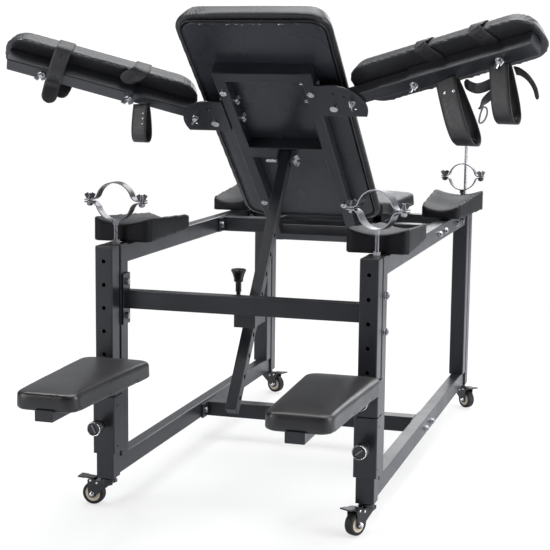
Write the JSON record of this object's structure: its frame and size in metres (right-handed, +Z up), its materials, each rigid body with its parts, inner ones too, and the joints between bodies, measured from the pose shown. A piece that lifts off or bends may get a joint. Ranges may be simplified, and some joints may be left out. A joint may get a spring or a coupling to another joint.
{
  "type": "adjustable padded bench frame",
  "caption": "Wheeled steel bench frame with a reclining padded backrest on a drilled strut, strapped swinging arms, concave limb pads, ring clamps and sliding padded platforms.",
  "frame": {"origin": "on the floor under the centre of the overall box", "axes": "+Z up, +Y to the front (the way a seated person faces), +X to the right seen from behind"},
  "size_m": [1.2418, 1.6338, 1.1008],
  "materials": {
    "black_steel": "satin black powder coat",
    "black_vinyl": "soft black upholstery vinyl with a fine grain",
    "board_vinyl": "smooth black backing vinyl",
    "strap_leather": "black strap leather",
    "zinc_steel": "bright zinc plate",
    "black_plastic": "moulded black plastic",
    "knob_plastic": "black plastic knob",
    "castor_tyre": "black tread with a cream hub ring",
    "fork_steel": "gloss black fork"
  },
  "bodies": {
    "frame": {"side_frame_left": "black_steel", "side_frame_right": "black_steel", "outer_posts": "black_steel", "post_caps": "black_plastic", "rear_crossbar": "black_steel", "low_cross_tube": "black_steel", "hinge_cross_tube": "black_steel", "seat_frame": "black_steel", "seat_cushion": "black_vinyl", "limb_pads": "black_vinyl", "strut_guide": "black_steel", "frame_hardware": "zinc_steel"},
    "backrest": {"backrest_frame": "black_steel", "backrest_board": "board_vinyl", "backrest_cushion": "black_vinyl", "backrest_fasteners": "zinc_steel", "arm_brackets": "black_steel"},
    "strut": {"support_strut": "black_steel"},
    "lock_pin": {"locking_pin": "knob_plastic"},
    "arm_right": {"arm_inner_right": "black_steel"},
    "arm_tray_right": {"arm_outer_right": "black_steel", "arm_cushion_right": "black_vinyl", "arm_straps_right": "strap_leather", "arm_fasteners_right": "zinc_steel"},
    "lower_sleeve_right": {"lower_sleeve_right": "black_steel"},
    "platform_right": {"platform_carrier_right": "black_steel", "platform_cushion_right": "black_vinyl"},
    "pull_pin_lower_right": {"pull_pin_lower_right": "knob_plastic"},
    "pull_pin_upper_right": {"pull_pin_upper_right": "knob_plastic"},
    "arm_left": {"arm_inner_left": "black_steel"},
    "arm_tray_left": {"arm_outer_left": "black_steel", "arm_cushion_left": "black_vinyl", "arm_straps_left": "strap_leather", "arm_fasteners_left": "zinc_steel"},
    "lower_sleeve_left": {"lower_sleeve_left": "black_steel"},
    "platform_left": {"platform_carrier_left": "black_steel", "platform_cushion_left": "black_vinyl"},
    "pull_pin_lower_left": {"pull_pin_lower_left": "knob_plastic"},
    "pull_pin_upper_left": {"pull_pin_upper_left": "knob_plastic"},
    "castor_rear_left": {"castor_fork_rear_left": "fork_steel"},
    "wheel_rear_left": {"castor_wheel_rear_left": "castor_tyre"},
    "pedal_rear_left": {"castor_pedal_rear_left": "black_plastic"},
    "castor_rear_right": {"castor_fork_rear_right": "fork_steel"},
    "wheel_rear_right": {"castor_wheel_rear_right": "castor_tyre"},
    "pedal_rear_right": {"castor_pedal_rear_right": "black_plastic"},
    "castor_front_left": {"castor_fork_front_left": "fork_steel"},
    "wheel_front_left": {"castor_wheel_front_left": "castor_tyre"},
    "pedal_front_left": {"castor_pedal_front_left": "black_plastic"},
    "castor_front_right": {"castor_fork_front_right": "fork_steel"},
    "wheel_front_right": {"castor_wheel_front_right": "castor_tyre"},
    "pedal_front_right": {"castor_pedal_front_right": "black_plastic"},
    "ring_rear_left": {"ring_base_rear_left": "zinc_steel"},
    "ring_lid_rear_left": {"ring_top_rear_left": "zinc_steel"},
    "ring_rear_right": {"ring_base_rear_right": "zinc_steel"},
    "ring_lid_rear_right": {"ring_top_rear_right": "zinc_steel"},
    "ring_front_left": {"ring_base_front_left": "zinc_steel"},
    "ring_lid_front_left": {"ring_top_front_left": "zinc_steel"},
    "ring_front_right": {"ring_base_front_right": "zinc_steel"},
    "ring_lid_front_right": {"ring_top_front_right": "zinc_steel"}
  },
  "joints": [
    {"name": "backrest_recline", "type": "hinge", "parent": "frame", "child": "backrest", "pos_m": [0, 0.25089, 0.55163], "axis": [1, 0, 0], "range_deg": [-25.3, 8.4]},
    {"name": "strut_swing", "type": "hinge", "parent": "backrest", "child": "strut", "pos_m": [0, -0.03896, 0.74915], "axis": [1, 0, 0], "range_deg": [-8, 23.5]},
    {"name": "lock_pin_pull", "type": "slide", "parent": "frame", "child": "lock_pin", "axis": [-1, 0, 0], "range_m": [0, 0.02]},
    {"name": "arm_right_swing", "type": "hinge", "parent": "backrest", "child": "arm_right", "pos_m": [0.146, -0.16169, 0.87825], "axis": [0, -0.6428, -0.766], "range_deg": [-30, 0]},
    {"name": "arm_right_extend", "type": "slide", "parent": "arm_right", "child": "arm_tray_right", "axis": [0.9171, -0.3055, 0.2563], "range_m": [0, 0.1]},
    {"name": "lower_sleeve_right_slide", "type": "slide", "parent": "frame", "child": "lower_sleeve_right", "axis": [0, 0, 1], "range_m": [-0.03, 0]},
    {"name": "platform_right_height", "type": "slide", "parent": "frame", "child": "platform_right", "axis": [0, 0, 1], "range_m": [0, 0.2032]},
    {"name": "pull_pin_lower_right_pull", "type": "slide", "parent": "lower_sleeve_right", "child": "pull_pin_lower_right", "axis": [0, -1, 0], "range_m": [0, 0.008], "stiffness_N_per_m": 600},
    {"name": "pull_pin_upper_right_pull", "type": "slide", "parent": "platform_right", "child": "pull_pin_upper_right", "axis": [0, -1, 0], "range_m": [0, 0.008], "stiffness_N_per_m": 600},
    {"name": "arm_left_swing", "type": "hinge", "parent": "backrest", "child": "arm_left", "pos_m": [-0.146, -0.1142, 0.8384], "axis": [0, -0.6428, -0.766], "range_deg": [0, 30]},
    {"name": "arm_left_extend", "type": "slide", "parent": "arm_left", "child": "arm_tray_left", "axis": [-0.9171, -0.3055, 0.2563], "range_m": [0, 0.1]},
    {"name": "lower_sleeve_left_slide", "type": "slide", "parent": "frame", "child": "lower_sleeve_left", "axis": [0, 0, 1], "range_m": [-0.03, 0]},
    {"name": "platform_left_height", "type": "slide", "parent": "frame", "child": "platform_left", "axis": [0, 0, 1], "range_m": [0, 0.2032]},
    {"name": "pull_pin_lower_left_pull", "type": "slide", "parent": "lower_sleeve_left", "child": "pull_pin_lower_left", "axis": [0, -1, 0], "range_m": [0, 0.008], "stiffness_N_per_m": 600},
    {"name": "pull_pin_upper_left_pull", "type": "slide", "parent": "platform_left", "child": "pull_pin_upper_left", "axis": [0, -1, 0], "range_m": [0, 0.008], "stiffness_N_per_m": 600},
    {"name": "castor_rear_left_swivel", "type": "hinge", "parent": "frame", "child": "castor_rear_left", "pos_m": [-0.292, -0.4079, 0.06], "axis": [0, 0, 1], "continuous": true},
    {"name": "wheel_rear_left_roll", "type": "hinge", "parent": "castor_rear_left", "child": "wheel_rear_left", "pos_m": [-0.326, -0.4079, 0.025], "axis": [0, -1, 0], "continuous": true},
    {"name": "pedal_rear_left_press", "type": "hinge", "parent": "castor_rear_left", "child": "pedal_rear_left", "pos_m": [-0.329, -0.4079, 0.0552], "axis": [0, -1, 0], "range_deg": [0, 12]},
    {"name": "castor_rear_right_swivel", "type": "hinge", "parent": "frame", "child": "castor_rear_right", "pos_m": [0.292, -0.4079, 0.06], "axis": [0, 0, 1], "continuous": true},
    {"name": "wheel_rear_right_roll", "type": "hinge", "parent": "castor_rear_right", "child": "wheel_rear_right", "pos_m": [0.27604, -0.43792, 0.025], "axis": [0.8829, -0.4695, 0], "continuous": true},
    {"name": "pedal_rear_right_press", "type": "hinge", "parent": "castor_rear_right", "child": "pedal_rear_right", "pos_m": [0.27463, -0.44057, 0.0552], "axis": [0.8829, -0.4695, 0], "range_deg": [0, 12]},
    {"name": "castor_front_left_swivel", "type": "hinge", "parent": "frame", "child": "castor_front_left", "pos_m": [-0.292, 0.7961, 0.06], "axis": [0, 0, 1], "continuous": true},
    {"name": "wheel_front_left_roll", "type": "hinge", "parent": "castor_front_left", "child": "wheel_front_left", "pos_m": [-0.26005, 0.78447, 0.025], "axis": [0.342, 0.9397, 0], "continuous": true},
    {"name": "pedal_front_left_press", "type": "hinge", "parent": "castor_front_left", "child": "pedal_front_left", "pos_m": [-0.25723, 0.78344, 0.0552], "axis": [0.342, 0.9397, 0], "range_deg": [0, 12]},
    {"name": "castor_front_right_swivel", "type": "hinge", "parent": "frame", "child": "castor_front_right", "pos_m": [0.292, 0.7961, 0.06], "axis": [0, 0, 1], "continuous": true},
    {"name": "wheel_front_right_roll", "type": "hinge", "parent": "castor_front_right", "child": "wheel_front_right", "pos_m": [0.31727, 0.77335, 0.025], "axis": [0.6691, 0.7431, 0], "continuous": true},
    {"name": "pedal_front_right_press", "type": "hinge", "parent": "castor_front_right", "child": "pedal_front_right", "pos_m": [0.3195, 0.77134, 0.0552], "axis": [0.6691, 0.7431, 0], "range_deg": [0, 12]},
    {"name": "ring_rear_left_turn", "type": "hinge", "parent": "frame", "child": "ring_rear_left", "pos_m": [-0.292, -0.3589, 0.62], "axis": [0, 0, 1], "range_deg": [-30, 30]},
    {"name": "ring_rear_left_lift", "type": "slide", "parent": "ring_rear_left", "child": "ring_lid_rear_left", "axis": [0, 0, 1], "range_m": [0, 0.012]},
    {"name": "ring_rear_right_turn", "type": "hinge", "parent": "frame", "child": "ring_rear_right", "pos_m": [0.292, -0.3589, 0.62], "axis": [0, 0, 1], "range_deg": [-30, 30]},
    {"name": "ring_rear_right_lift", "type": "slide", "parent": "ring_rear_right", "child": "ring_lid_rear_right", "axis": [0, 0, 1], "range_m": [0, 0.012]},
    {"name": "ring_front_left_turn", "type": "hinge", "parent": "frame", "child": "ring_front_left", "pos_m": [-0.292, 0.7471, 0.62], "axis": [0, 0, 1], "range_deg": [-30, 30]},
    {"name": "ring_front_left_lift", "type": "slide", "parent": "ring_front_left", "child": "ring_lid_front_left", "axis": [0, 0, 1], "range_m": [0, 0.012]},
    {"name": "ring_front_right_turn", "type": "hinge", "parent": "frame", "child": "ring_front_right", "pos_m": [0.292, 0.7471, 0.62], "axis": [0, 0, 1], "range_deg": [-30, 30]},
    {"name": "ring_front_right_lift", "type": "slide", "parent": "ring_front_right", "child": "ring_lid_front_right", "axis": [0, 0, 1], "range_m": [0, 0.012]}
  ],
  "couplings": [
    {"joint": "strut_swing", "follows": "backrest_recline", "ratio": -0.92}
  ]
}
